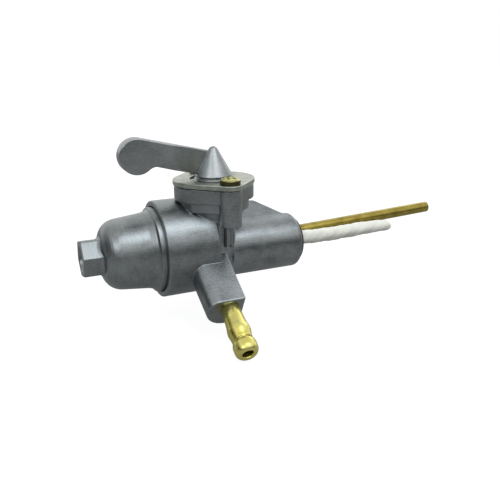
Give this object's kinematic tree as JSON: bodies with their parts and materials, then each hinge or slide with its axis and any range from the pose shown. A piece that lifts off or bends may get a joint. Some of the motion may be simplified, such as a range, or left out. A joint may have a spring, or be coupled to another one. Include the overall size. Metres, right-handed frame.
{
  "type": "fuel tap",
  "caption": "Small engine fuel tap: cast body with screwed sediment bowl, turning lever valve, brass hose tail, stand tube and filter sleeve.",
  "frame": {"origin": "centre of the tank-side mouth face", "axes": "+X out of the mouth along the spigot towards the tank, +Z along the lever's turning axis with the lever on top, -Y to the side where the hose tail comes out"},
  "size_m": [0.1475, 0.0634, 0.0664],
  "materials": {
    "cast_body": "as cast, fine satin",
    "cast_bowl": "as cast, fine satin",
    "cast_lever": "satin",
    "plated_plate": "dull zinc plate",
    "plated_screw": "yellow zinc plate",
    "spring_steel": "bright",
    "brass": "bright turned",
    "black_rubber": "matte",
    "white_mesh": "woven"
  },
  "bodies": {
    "tap": {"body": "cast_body", "bowl": "cast_bowl", "bowl_ring": "black_rubber", "strainer_hoop": "brass", "strainer_gauze": "brass", "valve_seal": "black_rubber", "spring_washer": "spring_steel", "retaining_plate": "plated_plate", "plate_screws": "plated_screw", "outlet_barb": "brass", "stand_tube": "brass", "reserve_tube": "brass", "filter_sleeve": "white_mesh", "tank_ring": "black_rubber"},
    "handle": {"lever": "cast_lever"}
  },
  "joints": [
    {"name": "lever_turn", "type": "hinge", "parent": "tap", "child": "handle", "pos_m": [-0.0332, -0.004, 0.028], "axis": [0, 0, 1], "range_deg": [-90, 90]}
  ]
}
